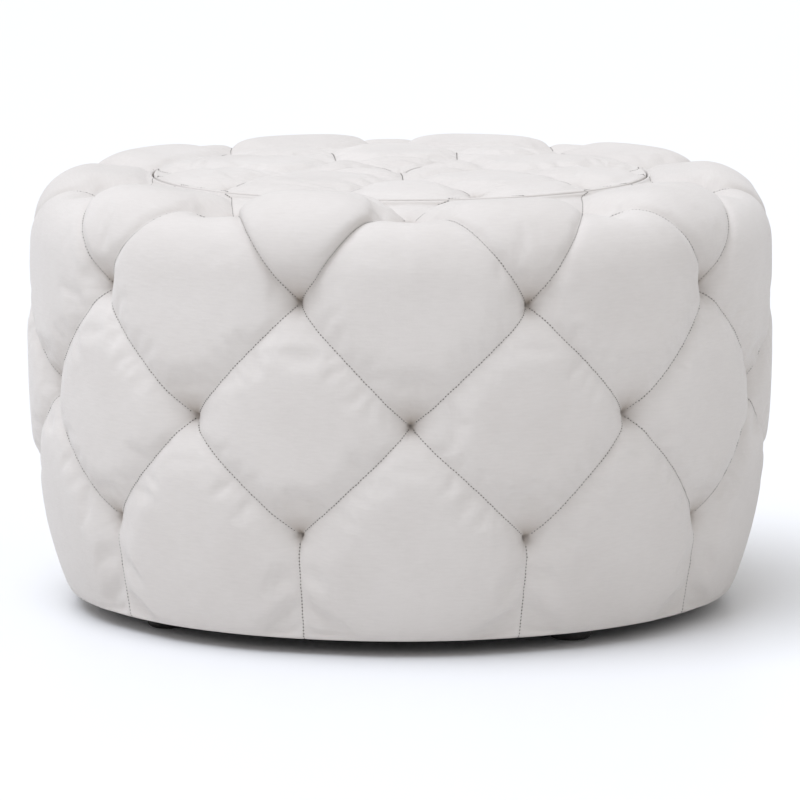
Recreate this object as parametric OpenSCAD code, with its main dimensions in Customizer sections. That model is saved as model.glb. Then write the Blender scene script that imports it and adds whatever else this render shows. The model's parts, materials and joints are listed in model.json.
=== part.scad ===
// Round storage ottoman: a drum wrapped in foam under a diamond-tufted cover,
// with a lift-off tufted lid set into the top over a lined storage well.
// Millimetres, +Z up, origin on the floor under the centre. The front is -Y,
// and angles round the drum are counted from the front towards +X.

/* [Ottoman] */
// Outside diameter at the fullest part of the side
diameter = 800; // [780:10:840]
// Height of the padded top above the floor
height = 471; // [460:1:500]
// Gap between the floor and the hem of the cover
hem_gap = 16; // [14:1:24]
// How far the side draws in at the hem, on the radius
hem_draw = 42; // [30:1:44]
// Thickness of the cover fabric
cover_t = 1.5; // [1:0.1:2]

/* [Padding] */
// Thickness of the padding on the side and on the rim
pad_t = 58; // [56:1:62]
// Width of the rounded top edge
edge_w = 67; // [60:1:70]
// Height of the rounded top edge
edge_h = 75; // [65:1:80]

/* [Frame] */
// Thickness of the base board and of the top ring
board_t = 15; // [14:1:18]
// Thickness of the bent panel round the drum
panel_t = 4; // [3:0.5:6]
// Posts between the base board and the top ring
post_count = 5; // [5:5:10]
// Width of a post, along the rim
post_w = 40; // [30:1:44]
// Depth of a post, towards the centre
post_d = 28; // [20:1:30]

/* [Storage well] */
// Radius of the mouth of the well, under its lining
well_r = 240; // [230:1:242]
// Thickness of the wall of the well
well_wall_t = 3; // [2:0.5:4]
// Thickness of the board on the floor of the well
well_floor_t = 5; // [3:1:9]
// Thickness of the lining fabric
lining_t = 1.2; // [0.8:0.1:1.5]

/* [Lid] */
// Radius of the lid over its cover
lid_r = 265; // [262:0.5:266]
// Gap between the lid and the padded rim
lid_gap = 1.5; // [1.2:0.1:3]
// Radius of the roll along the edge of the lid and of the rim beside it
roll_r = 5; // [4:1:12]
// Thickness of the board in the lid
lid_board_t = 12; // [10:1:15]
// Angle of the pull tab from the front
tab_angle = -16; // [-40:1:40]

/* [Feet] */
// Radius of the circle that the feet stand on
foot_circle_r = 303; // [280:1:306]
// Angle of the first foot from the front
foot_angle = 36; // [30:1:42]
// Radius of a foot at its top
foot_r = 22; // [18:1:24]

/* [Tufting] */
// Tufts in each ring
ring_tufts = 10; // [10:5:10]
// Heights of the three rings of tufts on the side
side_tuft_z = [119, 244, 366];
// Depth of a tuft on the side below the fullest radius
side_tuft_depth = 46; // [40:1:48]
// Depth of a tuft in the top below the crest
top_tuft_depth = 34; // [28:1:38]
// Radius of the ring of tufts on the rim
rim_tuft_r = 304; // [298:1:310]
// Radii of the rings of tufts on the lid
lid_tuft_r = [228, 112];
// Angle of the first tuft of the middle ring from the front
tuft_angle = 2; // [0:1:35]

/* [Hidden] */
$fn = 96;

// Frame: the base board sits on the turned-under cover, the top ring on posts
outer_r = diameter / 2;
drum_r = outer_r - pad_t;
base_z = hem_gap + cover_t;
base_top = base_z + board_t;
ring_top = height - pad_t - 1;
ring_z = ring_top - board_t;
post_r = drum_r - panel_t - post_d / 2 - 6;
dust_t = 0.8;
dust_z = hem_gap - dust_t;
dust_r = drum_r - 12;
cover_turn_in = 30;

// Padding: outline of the side, the rounded edge and the roll at the lid
foam_t = cover_t + 0.4;
full_z = height - edge_h - 69;
edge_z = height - edge_h;
crest_r = outer_r - edge_w;
rim_r = lid_r + lid_gap;
rim_top = height - 7;

// Well and lid
lining_r = well_r - lining_t;
pad_z = base_top + well_floor_t;
floor_pad_t = 4;
lid_z = ring_top + lining_t + 0.3;
lid_board_z = lid_z + cover_t;
lid_foam_z = lid_board_z + lid_board_t;
lid_crest_r = 215;
lid_lining_r = 246;
block_w = 44;
block_d = 14;
block_h = 11;
block_r = lining_r - 3;
block_angle = 45;
tab_w = 26;
tab_t = 0.8;
tab_z = lid_z + 14;
tab_top = rim_top - 2;

// Fasteners and ties
screw_r = 2;
screw_head_r = 4;
screw_head_h = 2.4;
foot_bore_r = 6;
foot_bore_h = 6;
foot_screw_l = 22;
post_screw_l = 45;
block_screw_l = 20;
tie_r = 1.2;
tie_hole_r = 2;
washer_r = 8;
washer_t = 1.5;
side_tie_r = drum_r - panel_t - washer_t - 0.3;
staple_w = 10;
staple_t = 0.7;
staple_leg = 8;
cover_staple_count = 24;
dust_staple_count = 16;
lid_staple_count = 20;

// Angles of the rings of tufts: every second ring is turned by half a step
tuft_step = 360 / ring_tufts;
post_step = 360 / post_count;
half_turned = tuft_angle - tuft_step / 2;
side_turn = [half_turned, tuft_angle, half_turned];
lid_turn = [half_turned, tuft_angle];
lid_count = [ring_tufts, ring_tufts / 2];

// Outer radius of the padding at height z, inset by t
function pad_r(z, t) =
    z < full_z ? outer_r - t - hem_draw * pow((full_z - z) / (full_z - hem_gap), 3)
    : z < edge_z ? outer_r - t
    : crest_r + (edge_w - t) * sqrt(1 - pow((z - edge_z) / (edge_h - t), 2));

// Points up the side from z0 to z1
function side_line(z0, z1, t) =
    [for (k = [0:16]) let (z = z0 + (z1 - z0) * k / 16) [pad_r(z, t), z]];

// Points over the rounded edge, from the elevation angle a0 to the crest
function edge_line(a0, t) =
    [for (k = [0:12]) let (a = a0 + (90 - a0) * k / 12)
        [crest_r + (edge_w - t) * cos(a), edge_z + (edge_h - t) * sin(a)]];

// Points round the roll on the rim, which turns down towards the lid
function rim_roll(t) =
    [for (a = [90:15:180]) [rim_r + roll_r + (roll_r - t) * cos(a),
                            rim_top - roll_r + (roll_r - t) * sin(a)]];

// Points round the roll on the lid, which turns down towards the rim
function lid_roll(t) =
    [for (a = [90:-15:0]) [lid_r - roll_r + (roll_r - t) * cos(a),
                           rim_top - roll_r + (roll_r - t) * sin(a)]];

// Upper outline of the lid from its axis to the height z at its edge
function lid_line(z, t) =
    concat([[0, height - t], [lid_crest_r, height - t]], lid_roll(t), [[lid_r - t, z]]);

// Puts children at a radius and an angle from the front, facing outwards
module at(angle, r) rotate([0, 0, angle]) translate([0, -r, 0]) children();

module ring(r0, r1, z0, z1) {
    translate([0, 0, z0]) difference() {
        cylinder(r = r1, h = z1 - z0);
        translate([0, 0, -1]) cylinder(r = r0, h = z1 - z0 + 2);
    }
}

// Countersunk screw: its head's flat face at z = 0, its shank going up
module screw(l) {
    cylinder(r1 = screw_head_r, r2 = screw_r, h = screw_head_h);
    cylinder(r = screw_r, h = l);
}

// Staple with its crown at z = 0 along the rim, its legs going up
module staple() {
    translate([-staple_w / 2, -staple_t / 2, 0]) cube([staple_w, staple_t, staple_t]);
    for (side = [-1, 1])
        translate([side * (staple_w - staple_t) / 2 - staple_t / 2, -staple_t / 2, 0])
            cube([staple_t, staple_t, staple_leg]);
}

// Tie with its washer at z = 0 on the back of the board, its cord going up
module tie(l) {
    cylinder(r = washer_r, h = washer_t);
    cylinder(r = tie_r, h = l);
}

// Puts children at each tie of the side, turned so that +Z points outwards
module at_side_ties() {
    for (k = [0:2]) for (i = [0:ring_tufts - 1])
        rotate([0, 0, side_turn[k] + i * tuft_step])
            translate([0, -side_tie_r, side_tuft_z[k]])
                rotate([90, 0, 0]) children();
}

module at_rim_ties() {
    for (i = [0:ring_tufts - 1]) at(tuft_angle + i * tuft_step, rim_tuft_r) children();
}

// Puts children at each tie of the lid: two rings and the centre
module at_lid_ties() {
    children();
    for (k = [0:1]) for (i = [0:lid_count[k] - 1])
        at(lid_turn[k] + i * 360 / lid_count[k], lid_tuft_r[k]) children();
}

module at_posts() {
    for (i = [0:post_count - 1]) at(half_turned + i * post_step, post_r) children();
}

module at_feet() {
    for (i = [0:3]) at(foot_angle + 90 * i, foot_circle_r) children();
}

// Holes for the foot screws
module foot_screw_holes() at_feet() translate([0, 0, -1]) cylinder(r = screw_r, h = height);

module foot(i) {
    color("#26221f") at(foot_angle + 90 * (i - 1), foot_circle_r) difference() {
        rotate_extrude() polygon([[0, 0], [foot_r - 5, 0], [foot_r - 2, 1.5],
            [foot_r - 0.6, 4], [foot_r, 8], [foot_r, dust_z], [0, dust_z]]);
        translate([0, 0, -1]) cylinder(r = screw_r, h = dust_z + 2);
        translate([0, 0, -1]) cylinder(r = foot_bore_r, h = foot_bore_h + 1);
    }
}

module foot_screws() {
    color("silver") at_feet() {
        translate([0, 0, foot_bore_h - screw_head_h])
            cylinder(r = screw_head_r, h = screw_head_h);
        translate([0, 0, foot_bore_h - screw_head_h]) cylinder(r = screw_r, h = foot_screw_l);
    }
}

module base_board() {
    color("burlywood") difference() {
        translate([0, 0, base_z]) cylinder(r = drum_r, h = board_t);
        foot_screw_holes();
        at_posts() translate([0, 0, base_z]) screw(post_screw_l);
    }
}

module dust_cover() {
    color("#1c1c1e") difference() {
        translate([0, 0, dust_z]) cylinder(r = dust_r, h = dust_t);
        foot_screw_holes();
    }
}

module dust_cover_staples() {
    color("silver") for (i = [0:dust_staple_count - 1])
        at((i + 0.5) * 360 / dust_staple_count, dust_r - 5)
            translate([0, 0, dust_z]) staple();
}

module drum_panel() {
    color("tan") difference() {
        ring(drum_r - panel_t, drum_r, base_top, ring_z);
        at_side_ties() cylinder(r = tie_hole_r, h = panel_t * 3);
    }
}

module post(i) {
    color("wheat") at(half_turned + (i - 1) * post_step, post_r) difference() {
        translate([-post_w / 2, -post_d / 2, base_top]) cube([post_w, post_d, ring_z - base_top]);
        translate([0, 0, base_z]) screw(post_screw_l);
        translate([0, 0, ring_top]) mirror([0, 0, 1]) screw(post_screw_l);
    }
}

module post_screws() {
    color("silver") at_posts() {
        translate([0, 0, base_z]) screw(post_screw_l);
        translate([0, 0, ring_top]) mirror([0, 0, 1]) screw(post_screw_l);
    }
}

module top_ring() {
    color("burlywood") difference() {
        ring(well_r, drum_r, ring_z, ring_top);
        at_posts() translate([0, 0, ring_top]) mirror([0, 0, 1]) screw(post_screw_l);
        at_rim_ties() translate([0, 0, ring_z - 1]) cylinder(r = tie_hole_r, h = board_t + 2);
    }
}

module well_wall() {
    color("peru") ring(well_r, well_r + well_wall_t, base_top, ring_z);
}

// Lining of the well, turned out over the top ring as the ledge for the lid
module well_lining() {
    color("#4a4744") rotate_extrude() polygon([[lining_r, pad_z], [well_r, pad_z],
        [well_r, ring_top], [rim_r, ring_top], [rim_r, ring_top + lining_t],
        [lining_r, ring_top + lining_t]]);
}

module well_floor() {
    color("peru") translate([0, 0, base_top]) cylinder(r = well_r, h = well_floor_t);
}

module well_floor_pad() {
    color("#55524e") translate([0, 0, pad_z]) cylinder(r = lining_r, h = floor_pad_t);
}

// Foam wrapped round the drum, from the hem up to the level of the top ring
module side_foam() {
    color("khaki") rotate_extrude() polygon(concat([[drum_r, base_z]],
        side_line(base_z, ring_top, foam_t), [[drum_r, ring_top]]));
}

// Foam on the top ring, which makes the rounded edge and the rim
module rim_foam() {
    a0 = asin((ring_top - edge_z) / (edge_h - foam_t));
    color("khaki") rotate_extrude() polygon(concat([[rim_r + foam_t, ring_top]],
        edge_line(a0, foam_t), rim_roll(foam_t)));
}

// Cover of the body: turned in under the base board, over the rim, and down
// beside the lid to the top ring
module body_cover() {
    inner = concat([[drum_r - cover_turn_in, base_z]], side_line(base_z, edge_z, cover_t),
        edge_line(0, cover_t), rim_roll(cover_t), [[rim_r + cover_t, ring_top]]);
    outer = concat([[drum_r - cover_turn_in, hem_gap]], side_line(hem_gap, edge_z, 0),
        edge_line(0, 0), rim_roll(0), [[rim_r, ring_top + lining_t]],
        [[rim_r, ring_top]]);
    last = len(inner) - 1;
    color("ivory") rotate_extrude() polygon(concat(outer, [for (k = [0:last]) inner[last - k]]));
}

module cover_staples() {
    color("silver") for (i = [0:cover_staple_count - 1])
        at(i * 360 / cover_staple_count, drum_r - 7) translate([0, 0, hem_gap]) staple();
}

module side_tuft_ties() {
    color("ivory") at_side_ties() tie(outer_r - side_tuft_depth - side_tie_r);
}

module rim_tuft_ties() {
    color("ivory") at_rim_ties() translate([0, 0, ring_z - washer_t])
        tie(height - top_tuft_depth - ring_z + washer_t);
}

// Board of the lid, with a recess under it for the washer of each tie
module lid_board() {
    color("burlywood") difference() {
        translate([0, 0, lid_board_z]) cylinder(r = lid_r - cover_t, h = lid_board_t);
        at_lid_ties() {
            translate([0, 0, lid_board_z - 1]) cylinder(r = tie_hole_r, h = lid_board_t + 2);
            translate([0, 0, lid_board_z - 1]) cylinder(r = washer_r + 1, h = washer_t + 1.5);
        }
        block_screw_set();
    }
}

module lid_foam() {
    color("khaki") rotate_extrude()
        polygon(concat([[0, lid_foam_z]], lid_line(lid_foam_z, foam_t)));
}

// Cover of the lid, turned in under its board
module lid_cover() {
    inner = lid_line(lid_board_z, cover_t);
    last = len(inner) - 1;
    color("ivory") rotate_extrude() polygon(concat(lid_line(lid_z, 0),
        [[lid_lining_r, lid_z], [lid_lining_r, lid_board_z]],
        [for (k = [0:last]) inner[last - k]]));
}

module lid_lining() {
    color("#4a4744") difference() {
        translate([0, 0, lid_z]) cylinder(r = lid_lining_r, h = cover_t);
        block_screw_set();
    }
}

// Block under the lid that centres it in the mouth of the well
module lid_block(i) {
    color("wheat") difference() {
        intersection() {
            at(block_angle + 90 * (i - 1), block_r - block_d / 2)
                translate([-block_w / 2, -block_d, lid_z - block_h])
                    cube([block_w, block_d * 1.5, block_h]);
            translate([0, 0, lid_z - block_h]) cylinder(r = block_r, h = block_h);
        }
        block_screw_set();
    }
}

// Two screws through each block into the board of the lid
module block_screw_set() {
    for (i = [0:3]) for (side = [-1, 1])
        at(block_angle + 90 * i, block_r - block_d / 2)
            translate([side * block_w / 4, 0, lid_z - block_h]) screw(block_screw_l);
}

module lid_block_screws() {
    color("silver") block_screw_set();
}

module lid_tuft_ties() {
    color("ivory") at_lid_ties() translate([0, 0, lid_board_z])
        tie(height - top_tuft_depth - lid_board_z);
}

module lid_staples() {
    color("silver") for (i = [0:lid_staple_count - 1])
        at(i * 360 / lid_staple_count, lid_lining_r + 6) translate([0, 0, lid_z]) staple();
}

// Ribbon tab on the lid's edge, standing in the gap beside the rim
module lid_pull_tab() {
    color("ivory") intersection() {
        ring(lid_r, lid_r + tab_t, tab_z, tab_top);
        at(tab_angle, lid_r) translate([-tab_w / 2, -10, tab_z])
            cube([tab_w, 30, tab_top - tab_z]);
    }
}

for (i = [1:4]) foot(i);
foot_screws();
base_board();
dust_cover();
dust_cover_staples();
drum_panel();
for (i = [1:post_count]) post(i);
post_screws();
top_ring();
well_wall();
well_lining();
well_floor();
well_floor_pad();
side_foam();
rim_foam();
body_cover();
cover_staples();
side_tuft_ties();
rim_tuft_ties();
lid_board();
lid_foam();
lid_cover();
lid_lining();
for (i = [1:4]) lid_block(i);
lid_block_screws();
lid_tuft_ties();
lid_staples();
lid_pull_tab();
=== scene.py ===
"""Looks of the round tufted storage ottoman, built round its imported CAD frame.

Metres, +Z up, the front is -Y. The tufted covers are meshes on a diagonal
lattice, so that every seam between two diamonds runs along mesh edges. A cloth
simulation then lets the panels swell and pucker between their tufts.
"""

import json
import math

import bpy
import numpy as np
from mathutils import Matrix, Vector, kdtree
from mathutils.bvhtree import BVHTree


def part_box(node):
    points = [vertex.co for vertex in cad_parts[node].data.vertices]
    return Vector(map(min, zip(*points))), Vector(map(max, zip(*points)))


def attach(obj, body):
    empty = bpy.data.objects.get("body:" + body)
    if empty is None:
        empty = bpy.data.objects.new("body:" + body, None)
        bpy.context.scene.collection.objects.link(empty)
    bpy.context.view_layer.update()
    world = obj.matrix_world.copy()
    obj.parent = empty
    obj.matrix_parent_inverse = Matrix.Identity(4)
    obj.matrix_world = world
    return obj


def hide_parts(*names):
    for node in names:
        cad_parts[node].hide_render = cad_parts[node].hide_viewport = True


MM = 0.001
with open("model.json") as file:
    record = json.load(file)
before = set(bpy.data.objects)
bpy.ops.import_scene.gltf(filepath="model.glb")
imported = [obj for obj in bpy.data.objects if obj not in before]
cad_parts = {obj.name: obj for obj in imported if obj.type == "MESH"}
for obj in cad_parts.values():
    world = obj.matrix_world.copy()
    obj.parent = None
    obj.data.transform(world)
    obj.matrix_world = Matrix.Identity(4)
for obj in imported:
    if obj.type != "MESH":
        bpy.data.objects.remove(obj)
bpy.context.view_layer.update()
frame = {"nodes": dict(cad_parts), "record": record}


# ---------------------------------------------------------------- driving sizes
def reach(node):
    """Outer radius of a round node."""
    low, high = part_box(node)
    return (high[0] - low[0]) / 2


COVER_LOW, COVER_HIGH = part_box("body_cover")
OUTER_R = reach("body_cover")
HEM_Z = COVER_LOW[2]
TOP_Z = COVER_HIGH[2]
DRUM_R = reach("drum_panel")
RING_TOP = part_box("top_ring")[1][2]
RIM_R = reach("well_lining")
LID_R = reach("lid_cover")
LID_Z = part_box("lid_cover")[0][2]
LID_LINING_R = reach("lid_lining")

HEM_DRAW = 42 * MM  # how far the side draws in at the hem
FULL_Z = TOP_Z - 144 * MM  # height of the fullest part of the side
EDGE_W, EDGE_H = 67 * MM, 75 * MM  # the rounded top edge
CREST_R = OUTER_R - EDGE_W
RIM_TOP = TOP_Z - 7 * MM
ROLL_R = 3.5 * MM
TURN_IN_R = DRUM_R - 30 * MM

# ---------------------------------------------------------------- tufting
TUFTS = 10  # in each ring
STEP = 2 * math.pi / TUFTS
FIRST = math.radians(2)  # first tuft of the middle ring, from the front
SIDE_RINGS = (119 * MM, 244 * MM, 366 * MM)
RIM_RING_R = 304 * MM
LID_RINGS_R = (228 * MM, 112 * MM)
CELL = 32  # mesh steps along each seam
SIDE_PIT, RIM_PIT, LID_PIT = 34 * MM, 22 * MM, 15 * MM
HIGH_PANEL = math.radians(-16)  # the panel of the top edge that stands proud
HIGH_PANEL_RISE, HIGH_PANEL_PUSH = 11 * MM, 13 * MM  # up, and forwards
CORNER_DIP = 23 * MM  # how far a panel sinks towards its tuft on the front of the rim
BACK_DIP = 0.15  # share of that at the back
FRONT_LOW = 4 * MM  # how much lower the rim is at the front
STITCH_PITCH = 3.6 * MM
STAND_OUT = 2 * MM  # how far the panels may swell beyond the cover's outline
FUNNEL, FUNNEL_REACH = 0.72, 20 * MM  # the fall into a tuft, as a share of its depth
VALLEY, VALLEY_NEAR = 0.03, 0.2  # the fall into a seam, everywhere and more near a tuft
VALLEY_WIDTH, VALLEY_LENGTH = 9 * MM, 30 * MM
CROWN, CROWN_WIDTH = 0.05, 34 * MM  # how far the middle of a panel stands above its sides
SAG = 0.45  # how much gentler the side falls into a tuft from above than from below
SAG_REACH = 38 * MM  # how far from a tuft that shows
PLEAT_REACH = 45 * MM  # how far the short pleats at a tuft can run
CLEAR_OF_PIT = 7 * MM  # where the stitches start
KNOT_DEPTH, KNOT_R = 10 * MM, 3.2 * MM  # the narrow hole that the tie pulls in
SEAM_DEPTH, SEAM_R = 0.6 * MM, 1.6 * MM
PIT_SHADE, PIT_SHADE_R = 0.8, 4 * MM  # painted shade in a tuft, a darker colour laid on the cloth
WEDGE_SHADE, WEDGE_REACH = 0.95, 17 * MM  # and above it, between its two upper seams
SEAM_STEP = 0.7 * MM  # how closely a seam is sampled to find the distance to it
CREASE = 0.35  # how sharp the subdivision leaves a seam
SWELL_CAP = 12 * MM  # the furthest that the simulation may move a point
INNER_KNOT_R = 160 * MM  # where the lid's seams meet with no tuft
TAB_WIDTH = 26 * MM


# ---------------------------------------------------------------- light and camera
SKY = 0.75
SKY_COLOUR = (0.985, 0.99, 1.0)
KEY_POWER, KEY_SPREAD = 2.4, 45  # the spread is in degrees
KEY_COLOUR = (0.857, 0.904, 1.0)
KEY_FROM = (-0.32, -0.22, 1.0)
FLOOR_COLOUR, FLOOR_HALF = (0.80, 0.80, 0.805), 30
CAMERA_PLACE = (0, -6.0, 1.0976)
CAMERA_DOWN = 8.37  # degrees below level
LENS, SENSOR = 252, 36


# ---------------------------------------------------------------- outlines
def side_r(z):
    """Radius of the side at a height."""
    fall = np.clip((FULL_Z - z) / (FULL_Z - HEM_Z), 0, None)
    return OUTER_R - HEM_DRAW * fall**3


def path_lengths(points):
    """Length from a path's start to each of its points."""
    steps = np.linalg.norm(np.diff(points, axis=0), axis=1)
    return np.concatenate([[0], np.cumsum(steps)])


class Outline:
    """A smooth path in (radius, height), read by its length from the start."""

    def __init__(self, points, rounding):
        fine = 0.5 * MM
        points = np.array(points, float)
        s = path_lengths(points)
        even = np.arange(0, s[-1], fine)
        points = np.stack([np.interp(even, s, points[:, k]) for k in (0, 1)], 1)
        width = int(rounding / fine) | 1
        for _ in range(2):
            padded = np.pad(points, ((width // 2, width // 2), (0, 0)), "edge")
            kernel = np.ones(width) / width
            points = np.stack([np.convolve(padded[:, k], kernel, "valid") for k in (0, 1)], 1)
        self.points = points
        self.s = path_lengths(points)
        self.length = self.s[-1]

    def at(self, s):
        return [np.interp(s, self.s, self.points[:, k]) for k in (0, 1)]

    def normal(self, s):
        """Unit normal on the outer side, to the right of the path's direction."""
        r0, z0 = self.at(s - 1.5 * MM)
        r1, z1 = self.at(s + 1.5 * MM)
        d = np.hypot(r1 - r0, z1 - z0) + 1e-12
        return (z1 - z0) / d, -(r1 - r0) / d

    def where(self, test):
        """Length at the first point that passes a test of radius and height."""
        return self.s[np.argmax(test(self.points[:, 0], self.points[:, 1]))]


def body_outline():
    """From under the base board, out over the hem, up the side, over the rim
    and down beside the lid."""
    under = HEM_Z + 0.5 * MM
    points = [(TURN_IN_R, under), (side_r(under) - 1 * MM, under)]
    points += [(side_r(z), z) for z in np.linspace(under + 2 * MM, TOP_Z - EDGE_H, 80)]
    for a in np.linspace(0, math.pi / 2, 40):
        points.append((CREST_R + EDGE_W * math.cos(a), TOP_Z - EDGE_H + EDGE_H * math.sin(a)))
    for a in np.linspace(math.pi / 2, math.pi, 16):
        points.append((RIM_R + ROLL_R + ROLL_R * math.cos(a), RIM_TOP - ROLL_R + ROLL_R * math.sin(a)))
    points.append((RIM_R, RING_TOP + 1.6 * MM))
    return Outline(points, 2.5 * MM)


def lid_outline():
    """From under the lid's board, out over its edge, up beside the rim and in
    over the top to the axis."""
    points = [(LID_LINING_R, LID_Z), (LID_R, LID_Z)]
    for a in np.linspace(0, math.pi / 2, 16):
        points.append((LID_R - ROLL_R + ROLL_R * math.cos(a), RIM_TOP - ROLL_R + ROLL_R * math.sin(a)))
    points += [(215 * MM, TOP_Z), (0, TOP_Z)]
    return Outline(points, 2.5 * MM)


# ---------------------------------------------------------------- tufted shape
def depth_of(to_pit, to_seam, pit, seam):
    """How deep the cover lies below the crest of its panels. pit scales the
    fall into the tufts, and seam the rest, which is the same at every tuft."""
    funnel = FUNNEL * np.exp(-to_pit / FUNNEL_REACH)
    along_seam = VALLEY + VALLEY_NEAR * np.exp(-to_pit / VALLEY_LENGTH)
    valley = along_seam * np.exp(-to_seam / VALLEY_WIDTH)
    crown = CROWN * np.exp(-((to_seam / CROWN_WIDTH) ** 2))
    return pit * funnel + seam * (valley + crown)


def wrap(angle):
    return (angle + math.pi) % (2 * math.pi) - math.pi


class Lattice:
    """A tube of diagonal quads: row b has every second of 2 * CELL * TUFTS
    columns, and a seam runs where column + row, or column - row, is a multiple
    of 2 * CELL counted from a tuft."""

    def __init__(self, rows, tuft_row, first_angle):
        self.rows = np.array(rows)
        self.columns = 2 * CELL * TUFTS
        self.tuft_row = tuft_row
        self.first_angle = first_angle
        self.index = {}
        self.column, self.row = [], []
        for b in range(len(rows)):
            for a in range(self.columns):
                if (a + b - tuft_row) % 2 == 0:
                    self.index[a, b] = len(self.column)
                    self.column.append(a)
                    self.row.append(b)
        self.column = np.array(self.column)
        self.row = np.array(self.row)
        self.angle = first_angle + self.column * math.pi / (CELL * TUFTS)
        self.s = self.rows[self.row]

    def vertex(self, a, b):
        return self.index.get((a % self.columns, b))

    def faces(self, split_columns=()):
        """Quads, and triangles along the first and last rows and along the
        straight seams given as (column, highest row)."""
        out = []
        top = len(self.rows) - 1
        for b in range(top + 1):
            for a in range(self.columns):
                if (a + b - self.tuft_row) % 2 == 0:
                    continue
                low, high = self.vertex(a, b - 1), self.vertex(a, b + 1)
                left, right = self.vertex(a - 1, b), self.vertex(a + 1, b)
                if low is None:
                    out.append((left, right, high))
                elif high is None:
                    out.append((low, right, left))
                elif any(a == c and b < limit for c, limit in split_columns):
                    out += [(low, right, high), (low, high, left)]
                else:
                    out.append((low, right, high, left))
        return out


class Cover:
    """Topology and places of one tufted cover before it is tufted."""

    def __init__(self):
        self.base, self.normal, self.cloth_uv = [], [], []
        self.faces, self.seams, self.pits = [], [], []
        self.puff = []  # 1 where the panels swell, 0 where the cover lies flat

    def finish(self):
        for name in ("base", "normal", "cloth_uv", "puff"):
            setattr(self, name, np.array(getattr(self, name), float))


def on_tube(outline, s, angle):
    """Places and normals on the outline turned round the axis."""
    r, z = outline.at(s)
    nr, nz = outline.normal(s)
    out = np.stack([np.sin(angle), -np.cos(angle), np.zeros_like(angle)], 1)
    up = np.array([0.0, 0.0, 1.0])
    return out * r[:, None] + up * z[:, None], out * nr[:, None] + up * nz[:, None]


def smooth_step(x, low, high):
    t = np.clip((x - low) / (high - low), 0, 1)
    return t * t * (3 - 2 * t)


def spaced(start, end, count):
    return list(np.linspace(start, end, count + 1)[1:])


def body_cover_shape():
    line = body_outline()
    hem_s = side_r(HEM_Z) - TURN_IN_R
    ring_s = [line.where(lambda r, z, h=h: z > h) for h in SIDE_RINGS]
    ring_s.append(line.where(lambda r, z: (z > RIM_TOP - ROLL_R) & (r < RIM_RING_R)))
    roll_s = line.where(lambda r, z: (z > RIM_TOP - ROLL_R) & (r < RIM_R + ROLL_R))
    wall_s = line.where(lambda r, z: (r < RIM_R + 1.2 * MM) & (z < RIM_TOP - ROLL_R))

    rows = [0.0] + spaced(0, hem_s - 10 * MM, 5)
    rows += spaced(hem_s - 10 * MM, hem_s + 12 * MM, 9)
    rows += spaced(hem_s + 12 * MM, ring_s[0], 22)
    tuft_row = len(rows) - 1
    for k in range(3):
        rows += spaced(ring_s[k], ring_s[k + 1], CELL)
    rows += spaced(ring_s[3], roll_s, 11)
    roll_row = len(rows) - 1
    rows += spaced(roll_s, wall_s, 9)
    rows += spaced(wall_s, line.length, 6)

    grid = Lattice(rows, tuft_row, FIRST - STEP / 2)
    cover = Cover()
    angle, s = loosened(grid, ring_s)
    cover.base, cover.normal = on_tube(line, s, angle)
    cover.cloth_uv = np.stack([grid.angle * OUTER_R, grid.s], 1)
    cover.puff = smooth_step(s, hem_s - 2 * MM, hem_s + 30 * MM)
    cover.puff *= 1 - smooth_step(s, roll_s - 2 * MM, wall_s)
    straight = [(2 * CELL * i, tuft_row) for i in range(TUFTS)]
    cover.faces = grid.faces(straight)

    frontness = (1 + np.cos(angle)) / 2
    cover.dip = FRONT_LOW * frontness * smooth_step(s, ring_s[2], ring_s[3] - 30 * MM)
    corner_width, corner_reach = 44 * MM, 38 * MM
    corner_s = ring_s[3] - 32 * MM
    corner = CORNER_DIP * (BACK_DIP + (1 - BACK_DIP) * smooth_step(frontness, 0.1, 0.5))
    for i in range(TUFTS):
        across = wrap(grid.angle - grid.first_angle - (i + 0.5) * STEP) * OUTER_R / corner_width
        before = (s - corner_s) / corner_reach
        cover.dip += corner * np.exp(-across**2 - before**2)

    for i in range(TUFTS):
        start = 2 * CELL * i
        for side in (-1, 1):
            cover.seams.append([grid.vertex(start + side * k, tuft_row + k)
                                for k in range(roll_row + 5 - tuft_row)])
        cover.seams.append([grid.vertex(start, b) for b in range(tuft_row, 6, -2)
                            if grid.vertex(start, b) is not None])
        for ring in range(4):
            v = grid.vertex(start + CELL * (ring % 2), tuft_row + CELL * ring)
            side_pit = side_r(SIDE_RINGS[min(ring, 2)]) - (OUTER_R - SIDE_PIT)
            cover.pits.append((v, side_pit if ring < 3 else RIM_PIT - cover.dip[v]))
    cover.high = high_panel(grid, tuft_row)
    cover.held = (s < hem_s + 1 * MM) | (s > wall_s)
    cover.finish()
    return cover


def loosened(grid, ring_s):
    """Angles and lengths of a lattice's points, with every tuft a little off
    its regular place, as tufts set by hand are."""
    rng = np.random.default_rng(11)
    angle, s = grid.angle.copy(), grid.s.copy()
    reach_s, reach_a = 70 * MM, 70 * MM / OUTER_R
    for ring, ring_place in enumerate(ring_s):
        for i in range(TUFTS):
            a0 = grid.first_angle + (i + 0.5 * (ring % 2)) * STEP
            shift_a, shift_s = rng.normal(0, 2.6 * MM, 2)
            near = np.exp(-(wrap(grid.angle - a0) / reach_a) ** 2 - ((grid.s - ring_place) / reach_s) ** 2)
            angle += near * shift_a / OUTER_R
            s += near * shift_s
    edge = np.clip((grid.s - grid.rows[0]) / (40 * MM), 0, 1)
    edge *= np.clip((grid.rows[-1] - 60 * MM - grid.s) / (30 * MM), 0, 1)
    return grid.angle + (angle - grid.angle) * edge, grid.s + (s - grid.s) * edge


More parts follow.
